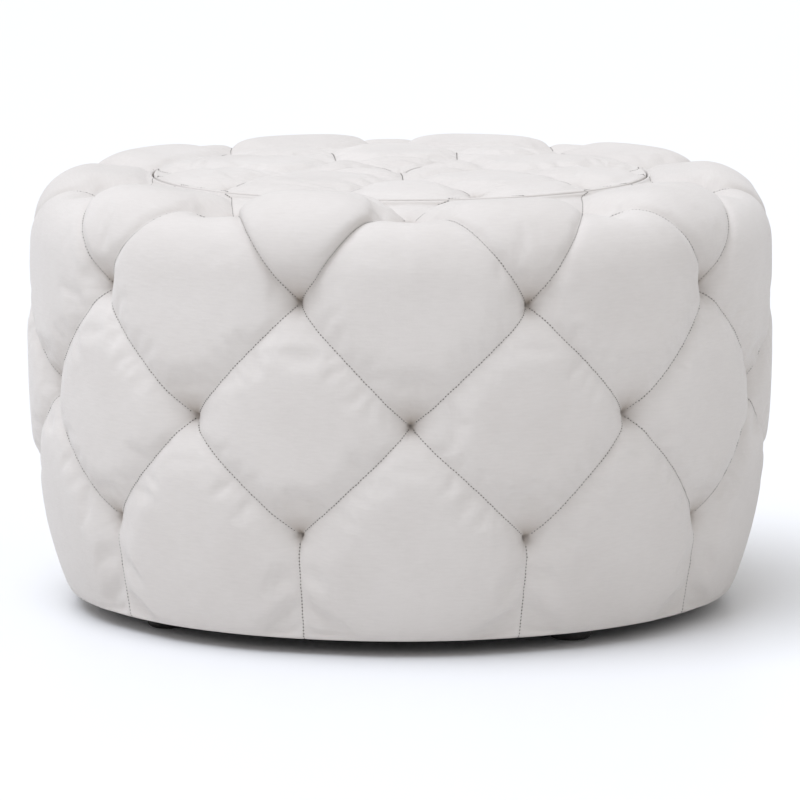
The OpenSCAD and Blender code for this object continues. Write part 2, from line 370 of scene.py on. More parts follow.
def high_panel(grid, tuft_row):
    """From 0 at the seams to 1 in the middle of the panel that stands proud."""
    steps = CELL * TUFTS / math.pi
    across = wrap(grid.angle - HIGH_PANEL) * steps
    along = grid.row - (tuft_row + 3 * CELL)
    u, v = (across + along) / CELL, (along - across) / CELL
    inside = (abs(u) < 1) & (abs(v) < 1)
    return np.where(inside, np.cos(u * math.pi / 2) * np.cos(v * math.pi / 2), 0) ** 0.38


class LidTop:
    """The flat of the lid's cover, inside its outer ring of tufts: ten sectors
    that run in from the ring, every second one to an inner tuft, and ten
    four-sided patches that close the middle."""

    def __init__(self, cover, line, grid):
        self.cover, self.line, self.grid = cover, line, grid
        self.last = len(grid.rows) - 1
        self.edges = {}
        self.apex = []
        for i in range(TUFTS):
            middle = grid.first_angle + i * STEP + STEP / 2
            r = LID_RINGS_R[1] if i % 2 == 0 else INNER_KNOT_R
            self.apex.append(self.add_point(r * math.sin(middle), -r * math.cos(middle)))
        self.outer = [grid.vertex(2 * CELL * i, self.last) for i in range(TUFTS)]

    def add_point(self, x, y):
        """A new point on the flat top."""
        z = self.line.at(self.line.length - math.hypot(x, y))[1]
        self.cover.base.append((x, y, float(z)))
        self.cover.normal.append((0.0, 0.0, 1.0))
        self.cover.puff.append(1.0)
        return len(self.cover.base) - 1

    def plan(self, v):
        return np.array(self.cover.base[v][:2])

    def edge(self, i, j):
        """Points from outer tuft i to apex j, made once."""
        if (i, j) not in self.edges:
            p, q = self.plan(self.outer[i]), self.plan(self.apex[j])
            inner = [self.add_point(*(p + (q - p) * k / CELL)) for k in range(1, CELL)]
            self.edges[i, j] = [self.outer[i]] + inner + [self.apex[j]]
        return self.edges[i, j]

    def add_sector(self, i):
        """The triangle between outer tufts i and i + 1 and apex i, its outer
        side bulging out to the ring."""
        n = CELL
        left, right = self.edge(i, i), self.edge((i + 1) % TUFTS, i)
        web = [[self.grid.vertex(2 * n * i + 2 * k, self.last) for k in range(n + 1)]]
        ring = [self.plan(v) for v in web[0]]
        for k in range(1, n + 1):
            count = n - k
            row = [left[k]]
            for c in range(1, count):
                u = c / count
                w = (c + k / 2) / n
                m = min(int(w * n), n - 1)
                on_ring = ring[m] + (ring[m + 1] - ring[m]) * (w * n - m)
                bulge = (on_ring - (ring[0] + (ring[-1] - ring[0]) * w)) * (1 - k / n)
                place = self.plan(left[k]) * (1 - u) + self.plan(right[k]) * u + bulge
                row.append(self.add_point(*place))
            if count:
                row.append(right[k])
            web.append(row)
        for c in range(n):
            self.cover.faces.append((web[0][c], web[0][c + 1], web[1][c]))
        for k in range(1, n):
            for c in range(n - k):
                quad = (web[k - 1][c + 1], web[k][c + 1], web[k + 1][c], web[k][c])
                self.cover.faces.append(quad)

    def spoke(self, i):
        inner = [self.add_point(*(self.plan(self.apex[i]) * (1 - k / CELL))) for k in range(1, CELL)]
        return [self.apex[i]] + inner + [self.centre]

    def add_middle(self):
        self.centre = self.add_point(0.0, 0.0)
        self.spokes = [self.spoke(i) for i in range(TUFTS)]
        for i in range(TUFTS):
            before = (i - 1) % TUFTS
            inner, knot = (before, i) if i % 2 else (i, before)
            turn = -1 if knot == i else 1
            self.add_patch(self.edges[i, inner], self.spokes[knot],
                           self.edges[i, knot], self.spokes[inner], turn)

    def add_patch(self, low, high, start, end, turn):
        """A four-sided patch between four rows of points."""
        n = CELL
        patch = np.empty((n + 1, n + 1), int)
        patch[:, 0], patch[:, n] = low, high
        patch[0, :], patch[n, :] = start, end
        for a in range(1, n):
            for b in range(1, n):
                u, v = a / n, b / n
                place = (1 - v) * self.plan(low[a]) + v * self.plan(high[a])
                place = place + (1 - u) * self.plan(start[b]) + u * self.plan(end[b])
                for cu, cv, corner in ((1 - u, 1 - v, low[0]), (u, 1 - v, low[n]),
                                       (1 - u, v, high[0]), (u, v, high[n])):
                    place = place - cu * cv * self.plan(corner)
                patch[a, b] = self.add_point(*place)
        for a in range(n):
            for b in range(n):
                quad = (patch[a, b], patch[a + 1, b], patch[a + 1, b + 1], patch[a, b + 1])
                self.cover.faces.append(quad[::turn])


def lid_cover_shape():
    line = lid_outline()
    top_s = line.where(lambda r, z: (z > RIM_TOP - 2 * MM) & (r < LID_R - ROLL_R))
    wall_s = line.where(lambda r, z: z > RIM_TOP - ROLL_R)
    ring_s = line.where(lambda r, z: (z > RIM_TOP - ROLL_R) & (r < LID_RINGS_R[0]))
    flat_s = LID_R - LID_LINING_R
    rows = [0.0] + spaced(0, flat_s - 6 * MM, 3) + spaced(flat_s - 6 * MM, flat_s + 8 * MM, 5)
    rows += spaced(flat_s + 8 * MM, wall_s, 4) + spaced(wall_s, top_s, 9)
    top_row = len(rows) - 1
    rows += spaced(top_s, ring_s, 11)
    last = len(rows) - 1
    grid = Lattice(rows, last, FIRST - STEP / 2)
    cover = Cover()
    base, normal = on_tube(line, grid.s, grid.angle)
    cover.base, cover.normal = list(base), list(normal)
    cover.puff = list(smooth_step(grid.s, wall_s, top_s + 4 * MM))
    cover.faces = grid.faces()
    top = LidTop(cover, line, grid)
    for i in range(TUFTS):
        top.add_sector(i)
    top.add_middle()

    for i in range(TUFTS):
        for side in (-1, 1):
            cover.seams.append([grid.vertex(2 * CELL * i + side * k, last - k)
                                for k in range(last - top_row + 6)])
        cover.pits.append((top.outer[i], LID_PIT))
        for j in (i, (i - 1) % TUFTS):
            if j % 2 == 0:
                cover.seams.append(top.edges[i, j])
        if i % 2 == 0:
            cover.pits.append((top.apex[i], LID_PIT))
            cover.seams.append(top.spokes[i])
    cover.pits.append((top.centre, LID_PIT))
    cover.high = cover.dip = np.zeros(len(cover.base))
    cover.held = np.zeros(len(cover.base), bool)
    cover.held[:len(grid.s)] = grid.s < wall_s
    cover.finish()
    cover.cloth_uv = cover.base[:, :2].copy()
    return cover


def nearest(points, targets):
    """Distance from each point to the nearest target, and which one it is."""
    tree = kdtree.KDTree(len(targets))
    for k, place in enumerate(targets):
        tree.insert(place, k)
    tree.balance()
    found = [tree.find(p) for p in points]
    return np.array([f[2] for f in found]), np.array([f[1] for f in found])


def along(places, pitch):
    """Points on a polyline at an even pitch, and its direction at each."""
    length = path_lengths(places)
    at = np.arange(pitch / 2, length[-1], pitch)
    points = np.stack([np.interp(at, length, places[:, k]) for k in range(3)], 1)
    ahead = np.stack([np.interp(at + 1 * MM, length, places[:, k]) for k in range(3)], 1)
    back = np.stack([np.interp(at - 1 * MM, length, places[:, k]) for k in range(3)], 1)
    way = ahead - back
    return points, way / (np.linalg.norm(way, axis=1, keepdims=True) + 1e-12)


def tufted(cover):
    """Places of the cover's points once its tufts and seams are pulled in."""
    fine = np.concatenate([along(cover.base[seam], SEAM_STEP)[0] for seam in cover.seams])
    pit_at = cover.base[[v for v, _ in cover.pits]]
    pit_depth = np.array([d for _, d in cover.pits])
    to_seam, _ = nearest(cover.base, fine)
    to_pit, which = nearest(cover.base, pit_at)
    cover.to_seam, cover.to_pit = to_seam, to_pit
    above = np.tanh((cover.base[:, 2] - pit_at[which, 2]) / (12 * MM))
    upright = np.clip(1 - cover.normal[:, 2] ** 2, 0, 1)
    steepness = 1 - SAG * above * upright * np.exp(-((to_pit / SAG_REACH) ** 2))
    depth = depth_of(to_pit * steepness, to_seam, pit_depth[which], pit_depth.max())
    raised = (HIGH_PANEL_RISE * cover.high - cover.dip) * cover.puff
    outwards = cover.base * (1, 1, 0) / (np.hypot(cover.base[:, 0], cover.base[:, 1])[:, None] + 1e-9)
    pushed = HIGH_PANEL_PUSH * cover.high * cover.puff
    cover.full = cover.base + cover.normal * raised[:, None] + outwards * pushed[:, None]
    return cover.full - cover.normal * (depth * cover.puff)[:, None]


def away_from_gap(points):
    """0 in the gap between lid and rim, 1 a little way from it."""
    r = np.hypot(points[:, 0], points[:, 1])
    return smooth_step(abs(r - LID_R), 4 * MM, 24 * MM)


def kept_in(points, cover):
    """The points, with no panel swelling far beyond the cover's outline."""
    out = np.einsum("ij,ij->i", points - cover.full, cover.normal)
    over = np.clip(out, 0, None)
    return points - cover.normal * (over - STAND_OUT * np.tanh(over / STAND_OUT))[:, None]


def gathers(points, places, normals, seed):
    """Height of the short pleats that run out from every tuft."""
    rng = np.random.default_rng(seed)
    height = np.zeros(len(points))
    for place, normal in zip(places, normals):
        away = points - place
        near = np.nonzero(np.einsum("ij,ij->i", away, away) < PLEAT_REACH**2)[0]
        away = away[near]
        east = np.cross((0, 0, 1), normal) if abs(normal[2]) < 0.9 else np.array([1.0, 0, 0])
        east = east / np.linalg.norm(east)
        north = np.cross(normal, east)
        x, y = away @ east, away @ north
        count = rng.integers(5, 8)
        for k in range(count):
            angle = 2 * math.pi * (k + rng.uniform(-0.3, 0.3)) / count
            length, width, depth = rng.uniform((7, 2.0, 0.5), (17, 3.2, 2.0)) * MM
            ahead = x * math.cos(angle) + y * math.sin(angle)
            aside = (y * math.cos(angle) - x * math.sin(angle)) / (width * (0.7 + ahead / (25 * MM)))
            fade = np.exp(-np.clip(ahead, 0, None) / length) * smooth_step(ahead, 1 * MM, 8 * MM)
            height[near] -= depth * fade * (1 - 2 * aside**2) * np.exp(-(aside**2))
    return height


# ---------------------------------------------------------------- making meshes
def new_object(name, points, faces, material, smooth=True):
    mesh = bpy.data.meshes.new(name)
    mesh.from_pydata([tuple(p) for p in points], [], [tuple(int(v) for v in f) for f in faces])
    mesh.materials.append(material)
    mesh.polygons.foreach_set("use_smooth", [smooth] * len(mesh.polygons))
    made = bpy.data.objects.new(name, mesh)
    bpy.context.scene.collection.objects.link(made)
    return made


def read(items, attribute, width=1, kind=float):
    """One attribute of all of a mesh's items, with a row for each item."""
    values = np.empty(len(items) * width, kind)
    items.foreach_get(attribute, values)
    return values.reshape(-1, width) if width > 1 else values


def set_points(obj, points):
    obj.data.vertices.foreach_set("co", np.ascontiguousarray(points).ravel())
    obj.data.update()


def swell(obj, cover, start, cap):
    """Cloth simulation: the panels swell under pressure while their seams are
    a little short, held at the tufts and along the cover's edges."""
    pins = obj.vertex_groups.new(name="held")
    tuft_hold = np.clip(1.3 - cover.to_pit / (7 * MM), 0, 1)
    hold = np.maximum(tuft_hold, 0.06)
    hold[cover.held] = 1
    seam_hold = 0.25 * np.exp(-(cover.to_seam / (3 * MM)) ** 2)
    hold = np.maximum(hold, seam_hold)
    short = obj.vertex_groups.new(name="short")
    shortness = np.exp(-(cover.to_seam / (5 * MM)) ** 2)
    for v in range(len(start)):
        pins.add([v], float(hold[v]), "REPLACE")
        if shortness[v] > 0.02:
            short.add([v], float(shortness[v]), "REPLACE")
    cloth = obj.modifiers.new("cloth", "CLOTH")
    settings = cloth.settings
    settings.quality = 5
    settings.mass = 0.25
    settings.air_damping = 2
    settings.tension_stiffness = settings.compression_stiffness = 18
    settings.shear_stiffness = 6
    settings.bending_stiffness = 0.25
    settings.vertex_group_mass = "held"
    settings.pin_stiffness = 2.0
    settings.vertex_group_shrink = "short"
    settings.shrink_min = -0.035
    settings.shrink_max = 0.03
    settings.use_pressure = True
    settings.uniform_pressure_force = 3
    settings.effector_weights.gravity = 0
    cloth.collision_settings.use_collision = False
    scene = bpy.context.scene
    for frame_number in range(1, 21):
        scene.frame_set(frame_number)
    seen = obj.evaluated_get(bpy.context.evaluated_depsgraph_get())
    moved = read(seen.data.vertices, "co", 3)
    obj.modifiers.remove(cloth)
    scene.frame_set(1)
    step = moved - start
    size = np.linalg.norm(step, axis=1, keepdims=True)
    step *= np.minimum(1, cap / np.maximum(size, 1e-9)) * away_from_gap(start)[:, None]
    return start + step * (0.25 + 0.75 * smooth_step(cover.to_pit, 10 * MM, 45 * MM))[:, None]


# ---------------------------------------------------------------- materials
class Shader:
    """A node material with a Principled shader and short ways to build it."""

    def __init__(self, name, colour, roughness, **sockets):
        self.material = bpy.data.materials.new(name)
        self.material.use_nodes = True
        self.nodes = self.material.node_tree.nodes
        self.links = self.material.node_tree.links
        self.bsdf = self.nodes["Principled BSDF"]
        self.bsdf.inputs["Base Color"].default_value = (*colour, 1)
        self.bsdf.inputs["Roughness"].default_value = roughness
        for socket, value in sockets.items():
            self.bsdf.inputs[socket.replace("_", " ")].default_value = value
        self.object_space = self.nodes.new("ShaderNodeTexCoord").outputs["Object"]

    def noise(self, scale, detail=3, rough=0.5, stretch=(1, 1, 1), space=None):
        mapping = self.nodes.new("ShaderNodeMapping")
        mapping.inputs["Scale"].default_value = stretch
        self.links.new(space or self.object_space, mapping.inputs["Vector"])
        node = self.nodes.new("ShaderNodeTexNoise")
        node.inputs["Scale"].default_value = scale
        node.inputs["Detail"].default_value = detail
        node.inputs["Roughness"].default_value = rough
        self.links.new(mapping.outputs[0], node.inputs["Vector"])
        return node.outputs["Fac"]

    def waves(self, pitch, axis, space, wobble=0.0):
        node = self.nodes.new("ShaderNodeTexWave")
        node.bands_direction = axis
        node.inputs["Scale"].default_value = 2 * math.pi / (20 * pitch)
        node.inputs["Distortion"].default_value = wobble
        node.inputs["Detail Scale"].default_value = 2.0
        self.links.new(space, node.inputs["Vector"])
        return node.outputs["Fac"]

    def uv(self):
        node = self.nodes.new("ShaderNodeUVMap")
        node.uv_map = "cloth"
        return node.outputs[0]

    def attribute(self, name):
        node = self.nodes.new("ShaderNodeAttribute")
        node.attribute_name = name
        return node.outputs["Fac"]

    def math(self, operation, a, b):
        node = self.nodes.new("ShaderNodeMath")
        node.operation = operation
        for socket, value in zip(node.inputs, (a, b)):
            if isinstance(value, (int, float)):
                socket.default_value = value
            else:
                self.links.new(value, socket)
        return node.outputs[0]

    def ramp(self, value, stops):
        node = self.nodes.new("ShaderNodeValToRGB")
        elements = node.color_ramp.elements
        while len(elements) < len(stops):
            elements.new(0.5)
        for element, (place, colour) in zip(elements, stops):
            element.position = place
            element.color = (*colour, 1)
        self.links.new(value, node.inputs[0])
        return node.outputs[0]

    def mix(self, a, b, share, blend="MIX"):
        node = self.nodes.new("ShaderNodeMix")
        node.data_type = "RGBA"
        node.blend_type = blend
        for socket, value in ((node.inputs[0], share), (node.inputs[6], a), (node.inputs[7], b)):
            if isinstance(value, (int, float)):
                socket.default_value = value
            elif isinstance(value, tuple):
                socket.default_value = (*value, 1)
            else:
                self.links.new(value, socket)
        return node.outputs[2]

    def colour(self, output):
        self.links.new(output, self.bsdf.inputs["Base Color"])

    def roughness(self, output, low, high):
        node = self.nodes.new("ShaderNodeMapRange")
        node.inputs["To Min"].default_value = low
        node.inputs["To Max"].default_value = high
        self.links.new(output, node.inputs["Value"])
        self.links.new(node.outputs[0], self.bsdf.inputs["Roughness"])

    def bump(self, *layers):
        """Layers of (height output, distance in metres), laid over each other."""
        last = None
        for height, distance in layers:
            node = self.nodes.new("ShaderNodeBump")
            node.inputs["Distance"].default_value = distance
            self.links.new(height, node.inputs["Height"])
            if last:
                self.links.new(last, node.inputs["Normal"])
            last = node.outputs[0]
        self.links.new(last, self.bsdf.inputs["Normal"])
        return self.material


def velvet(name, light, dark, tuft_shade, thread, sheen):
    """A plain weave with a short soft nap: two sets of threads, patches where
    the nap lies another way, and painted shade, a darker tone laid in and above the tufts."""
    m = Shader(name, light, 0.85, Sheen_Weight=sheen, Sheen_Roughness=0.35,
               Sheen_Tint=(1, 1, 1, 1), Specular_IOR_Level=0.18)
    across = m.waves(thread, "X", m.uv(), 1.5)
    lengthwise = m.waves(thread, "Y", m.uv(), 1.5)
    weave = m.math("MULTIPLY", across, lengthwise)
    tone_field = m.noise(9, 4, 0.55)
    slub = m.noise(420, 2, 0.6, space=m.uv(), stretch=(0.16, 1, 1))
    fleck = m.noise(1400, 2, 0.7)
    tone = m.math("ADD", m.math("MULTIPLY", tone_field, 0.55), m.math("MULTIPLY", slub, 0.3))
    tone = m.math("ADD", tone, m.math("MULTIPLY", fleck, 0.15))
    cloth = m.ramp(tone, [(0.32, dark), (0.62, light)])
    # painted shade: the cloth is mixed towards a dark colour where the mesh stores shade for the tufts
    m.colour(m.mix(cloth, tuft_shade, m.attribute("painted_tuft_shade")))
    m.roughness(tone_field, 0.78, 0.95)
    creases = m.noise(55, 3, 0.5)
    return m.bump((creases, 0.7 * MM), (slub, 0.12 * MM), (weave, 0.16 * MM), (fleck, 0.05 * MM))


def yarn(name, light, dark):
    m = Shader(name, light, 0.8, Sheen_Weight=0.2)
    ply = m.waves(0.5 * MM, "DIAGONAL", m.object_space, 0.5)
    m.colour(m.ramp(m.noise(700, 2), [(0.3, dark), (0.7, light)]))
    return m.bump((ply, 0.1 * MM))


def woven(name, light, dark, thread):
    """Plain coarse lining cloth."""
    m = Shader(name, light, 0.9, Sheen_Weight=0.1, Specular_IOR_Level=0.15)
    upright = m.waves(thread, "Z", m.object_space, 0.6)
    slanted = m.waves(thread, "DIAGONAL", m.object_space, 0.6)
    weave = m.math("MULTIPLY", upright, slanted)
    blotch = m.noise(30, 4)
    m.colour(m.mix(m.ramp(blotch, [(0.35, dark), (0.65, light)]), dark, m.math("MULTIPLY", weave, 0.35)))
    m.roughness(blotch, 0.82, 0.97)
    return m.bump((blotch, 0.4 * MM), (weave, 0.2 * MM))


def felted(name, light, dark):
    """Spun-bonded black cloth: a mat of fine fibres pressed in a dot grid."""
    m = Shader(name, light, 0.75, Specular_IOR_Level=0.25)
    fibres = m.noise(900, 5, 0.8, stretch=(1, 0.35, 1))
    dots = m.math("MULTIPLY", m.waves(3 * MM, "X", m.object_space), m.waves(3 * MM, "Y", m.object_space))
    mat = m.ramp(fibres, [(0.35, dark), (0.65, light)])
    m.colour(m.mix(mat, dark, m.math("MULTIPLY", dots, 0.7)))
    m.roughness(fibres, 0.6, 0.9)
    return m.bump((fibres, 0.15 * MM), (dots, 0.15 * MM))


def timber(name, light, dark, ring_scale, flat=True):
    """Wood with long grain, pores and a few darker streaks."""
    m = Shader(name, light, 0.6, Specular_IOR_Level=0.3)
    stretch = (1, 0.06, 0.6) if flat else (1, 1, 0.05)
    grain = m.noise(ring_scale, 6, 0.6, stretch)
    pores = m.noise(ring_scale * 14, 3, 0.6, stretch)
    tone = m.math("ADD", m.math("MULTIPLY", grain, 0.75), m.math("MULTIPLY", pores, 0.25))
    m.colour(m.ramp(tone, [(0.3, dark), (0.5, light), (0.72, tuple(c * 0.82 for c in light))]))
    m.roughness(pores, 0.5, 0.8)
    return m.bump((grain, 0.3 * MM), (pores, 0.15 * MM))


def pressed_board(name, light, dark):
    """Hardboard: fine chips pressed flat, a little shiny."""
    m = Shader(name, light, 0.5, Specular_IOR_Level=0.35)
    chips = m.noise(260, 5, 0.75)
    patches = m.noise(14, 3)
    m.colour(m.mix(m.ramp(chips, [(0.3, dark), (0.7, light)]), dark, m.math("MULTIPLY", patches, 0.4)))
    m.roughness(chips, 0.4, 0.7)
    return m.bump((chips, 0.12 * MM))


def moulded(name, light, dark):
    """Black moulded plastic with a fine grain and scuffed edges."""
    m = Shader(name, light, 0.45, Specular_IOR_Level=0.4)
    grain = m.noise(1500, 3, 0.6)
    scuffs = m.noise(70, 5, 0.7)
    m.colour(m.ramp(scuffs, [(0.45, dark), (0.75, light)]))
    m.roughness(scuffs, 0.35, 0.7)
    return m.bump((grain, 0.05 * MM), (scuffs, 0.1 * MM))


def steel(name, colour):
    m = Shader(name, colour, 0.35, Metallic=1.0)
    brushed = m.noise(600, 4, 0.7, stretch=(1, 1, 0.2))
    m.colour(m.ramp(brushed, [(0.3, tuple(c * 0.75 for c in colour)), (0.7, colour)]))
    m.roughness(brushed, 0.25, 0.5)
    return m.bump((brushed, 0.03 * MM))


def foam_rubber(name, light, dark):
    m = Shader(name, light, 0.95, Specular_IOR_Level=0.1)
    cells = m.noise(900, 3, 0.7)
    m.colour(m.ramp(cells, [(0.3, dark), (0.7, light)]))
    return m.bump((cells, 0.4 * MM))


# the third colour is the painted shade laid in and above the tufts
COVER = velvet("ivory_velvet", (0.690, 0.652, 0.618), (0.633, 0.594, 0.560), (0.34, 0.285, 0.235),
               0.8 * MM, 0.3)
THREAD = yarn("ivory_thread", (0.62, 0.585, 0.55), (0.42, 0.39, 0.36))
# painted shade: near-black beads stand in for the shade inside the needle holes
HOLE_SHADE = yarn("needle_hole_shade", (0.16, 0.14, 0.125), (0.09, 0.08, 0.07))
CORD = yarn("tie_cord", (0.74, 0.70, 0.63), (0.55, 0.50, 0.43))
LINING = woven("charcoal_lining", (0.275, 0.266, 0.257), (0.235, 0.226, 0.219), 1.6 * MM)
DUST = felted("black_dust_cloth", (0.07, 0.07, 0.075), (0.016, 0.016, 0.018))
PLYWOOD = timber("birch_plywood", (0.68, 0.52, 0.34), (0.46, 0.31, 0.17), 16)
POST_WOOD = timber("pine", (0.74, 0.57, 0.36), (0.55, 0.36, 0.18), 22, flat=False)
HARDBOARD = pressed_board("hardboard", (0.40, 0.26, 0.15), (0.23, 0.14, 0.08))
PLASTIC = moulded("black_plastic", (0.045, 0.042, 0.04), (0.018, 0.016, 0.015))
STEEL = steel("zinc_steel", (0.68, 0.68, 0.67))
FOAM = foam_rubber("foam", (0.86, 0.80, 0.60), (0.72, 0.65, 0.46))

SLOT_LOOKS = {
    "cover_fabric": COVER, "lining_fabric": LINING, "dust_fabric": DUST, "tie_cord": CORD,
    "foam": FOAM, "plywood": PLYWOOD, "hardboard": HARDBOARD, "softwood": POST_WOOD,
    "foot_plastic": PLASTIC, "steel": STEEL,
}


def dress_cad_nodes():
    """Gives every carried-over CAD node its material."""
    for part in frame["record"]["subparts"]:
        obj = frame["nodes"][part["node"]]
        obj.data.materials.clear()
        obj.data.materials.append(SLOT_LOOKS[part["material_slot"]])


# ---------------------------------------------------------------- covers
def add_uv(obj, cloth_uv):
    """Gives each corner its place on the flat cloth, for the weave."""
    layer = obj.data.uv_layers.new(name="cloth")
    uv = cloth_uv[read(obj.data.loops, "vertex_index", kind=int)]
    # the panel that crosses the start of the lattice is kept in one piece
    starts = read(obj.data.polygons, "loop_start", kind=int)
    totals = read(obj.data.polygons, "loop_total", kind=int)
    round_trip = 2 * math.pi * OUTER_R
    for start, total in zip(starts, totals):
        part = uv[start:start + total, 0]
        if part.max() - part.min() > round_trip / 2:
            part[part < part.max() - round_trip / 2] += round_trip
    layer.data.foreach_set("uv", np.ascontiguousarray(uv).ravel())


def crease_seams(obj, seams):
    """Keeps the seams sharp when the mesh is made finer."""
    lookup = {tuple(sorted(e.vertices)): e.index for e in obj.data.edges}
    values = np.zeros(len(obj.data.edges))
    for seam in seams:
        for a, b in zip(seam, seam[1:]):
            k = lookup.get((min(a, b), max(a, b)))
            if k is not None:
                values[k] = CREASE
    attribute = obj.data.attributes.new("crease_edge", "FLOAT", "EDGE")
    attribute.data.foreach_set("value", values)


def refine(obj):
    """Replaces the mesh by its subdivided self, and gives its points and their
    normals."""
    obj.modifiers.new("finer", "SUBSURF").levels = 1
    seen = obj.evaluated_get(bpy.context.evaluated_depsgraph_get())
    mesh = bpy.data.meshes.new_from_object(seen)
    obj.modifiers.clear()
    coarse = obj.data
    obj.data = mesh
    bpy.data.meshes.remove(coarse)
    mesh.name = obj.name
    return read(mesh.vertices, "co", 3), read(mesh.vertex_normals, "vector", 3)


def make_cover(name, cover, body, replaced, seed):
    """Builds a tufted cover: swollen, made finer, then pleated and pulled in at
    its tufts and seams."""
    start = tufted(cover)
    obj = new_object(name, start, cover.faces, COVER)
    points = swell(obj, cover, start, SWELL_CAP)
    points = kept_in(points, cover)
    obj.vertex_groups.clear()
    set_points(obj, points)
    add_uv(obj, cover.cloth_uv)
    crease_seams(obj, cover.seams)
    pit_at = [v for v, _ in cover.pits]
    pits = points[pit_at]
    lines = [points[seam] for seam in cover.seams]
    fine, normals = refine(obj)
    to_pit, which = nearest(fine, pits)
    to_seam, _ = nearest(fine, np.concatenate([along(line, SEAM_STEP)[0] for line in lines]))
    height = gathers(fine, pits, cover.normal[pit_at], seed)
    height -= KNOT_DEPTH * np.exp(-(to_pit / KNOT_R) ** 2)
    height -= SEAM_DEPTH * np.exp(-(to_seam / SEAM_R) ** 2)
    height *= away_from_gap(fine)
    set_points(obj, fine + normals * height[:, None])
    # painted shade stored on the mesh: darker in each tuft and in the wedge between the two seams above a
    # tuft
    out = cover.normal[pit_at][which]
    away = fine - pits[which]
    away -= out * np.einsum("ij,ij->i", away, out)[:, None]
    aside = np.linalg.norm(away, axis=1)
    wedge = smooth_step(away[:, 2] / np.maximum(aside, 1 * MM), 0.66, 0.78)
    wedge *= 1 - smooth_step(out[:, 2], 0.3, 0.7)
    painted_shade = PIT_SHADE * np.exp(-to_pit / PIT_SHADE_R) + WEDGE_SHADE * wedge * np.exp(-aside / WEDGE_REACH)
    tone_field = obj.data.attributes.new("painted_tuft_shade", "FLOAT", "POINT")
    tone_field.data.foreach_set("value", np.clip(painted_shade, 0, 1))
    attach(obj, body)
    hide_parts(*replaced)
    make_stitches(name + "_stitches", obj, lines, pits, body)
    return obj


def make_stitches(name, cloth, lines, pits, body):
    """Short stitches sunk along every seam, with a near-black bead between each
    two as painted shade for a needle hole, starting a little way out from the tufts."""
    surface = BVHTree.FromPolygons([v.co[:] for v in cloth.data.vertices],
                                   [p.vertices[:] for p in cloth.data.polygons])
    solid_points, solid_faces, is_hole_shade = [], [], []
    ring = [(math.cos(k * math.pi / 3), math.sin(k * math.pi / 3)) for k in range(6)]

    def bead(place, way, half_length, half_width, lift, hole):
        spot, up, _, _ = surface.find_nearest(place)
        up = np.array(up)
        way = way - up * np.dot(way, up)
        way = way / (np.linalg.norm(way) + 1e-12)
        side = np.cross(way, up)
        centre = np.array(spot) + up * lift
        first = len(solid_points)
        for end, size in ((-1, 0.45), (-0.55, 1), (0.55, 1), (1, 0.45)):
            for c, s in ring:
                solid_points.append(centre + way * half_length * end
                                    + (side * c * half_width + up * s * 0.3 * MM) * size)
        for r in range(3):
            for k in range(6):
                a, b = first + r * 6 + k, first + r * 6 + (k + 1) % 6
                solid_faces.append((a, b, b + 6, a + 6))
        solid_faces.append(tuple(range(first + 5, first - 1, -1)))
        solid_faces.append(tuple(range(first + 18, first + 24)))
        is_hole_shade.extend([hole] * 20)

    for line in lines:
        places, ways = along(line, STITCH_PITCH)
        for place, way in zip(places, ways):
            if np.min(np.linalg.norm(pits - place, axis=1)) < CLEAR_OF_PIT:
                continue
            bead(place, way, 1.1 * MM, 0.32 * MM, 0, 0)
            # painted shade: a near-black bead where a needle hole lies
            bead(place + way * STITCH_PITCH / 2, way, 0.75 * MM, 0.72 * MM, 0.1 * MM, 1)
    obj = new_object(name, solid_points, solid_faces, THREAD)
    obj.data.materials.append(HOLE_SHADE)
    obj.data.polygons.foreach_set("material_index", is_hole_shade)
    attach(obj, body)


# ---------------------------------------------------------------- other cloth
def ripples(seed, count, low, high, lean):
    """A smooth random wave, read by angle and by length along the profile."""
    rng = np.random.default_rng(seed)
    turns = rng.integers(low, high, count)
    phase = rng.uniform(0, 2 * math.pi, count)
    slope = rng.uniform(-lean, lean, count)

    def wave(angle, s):
        return sum(np.sin(k * angle + p + m * s) for k, p, m in zip(turns, phase, slope)) / count
    return wave


def lathed(name, profile, material, move, segments=240):
    """Turns (radius, height) points round the axis into a closed shape. A
    profile starts and ends on the axis, or its end joins its start. move gives
    each point's shift inwards and up."""
    profile = np.array(profile, float)
    s = path_lengths(profile)
    points, faces, rings = [], [], []
    angle = np.arange(segments) * 2 * math.pi / segments
    for (r, z), length in zip(profile, s):
        if r < 1e-6:
            rings.append([len(points)])
            points.append((0, 0, z + float(np.mean(move(r, z, angle, length)[1]))))
            continue
        shift_in, shift_up = move(r, z, angle, length)
        at = r - shift_in + 0 * angle
        rings.append(range(len(points), len(points) + segments))
        points += list(zip(at * np.sin(angle), -at * np.cos(angle), z + shift_up + 0 * angle))
    following = rings[1:] + ([rings[0]] if len(rings[0]) > 1 else [])
    for low_ring, high_ring in zip(rings, following):
        for k in range(segments):
            n = (k + 1) % segments
            corners = [low_ring[k % len(low_ring)], low_ring[n % len(low_ring)],
                       high_ring[n % len(high_ring)], high_ring[k % len(high_ring)]]
            faces.append(tuple(dict.fromkeys(corners)))
    return new_object(name, points, faces, material)


def dressed(obj, body, node):
    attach(obj, body)
    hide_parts(node)


def arc(centre, radius, start, end, count):
    """Points of an arc in (radius, height), angles in degrees from outwards."""
    turn = np.radians(np.linspace(start, end, count))
    return [(centre[0] + radius * math.cos(a), centre[1] + radius * math.sin(a)) for a in turn]


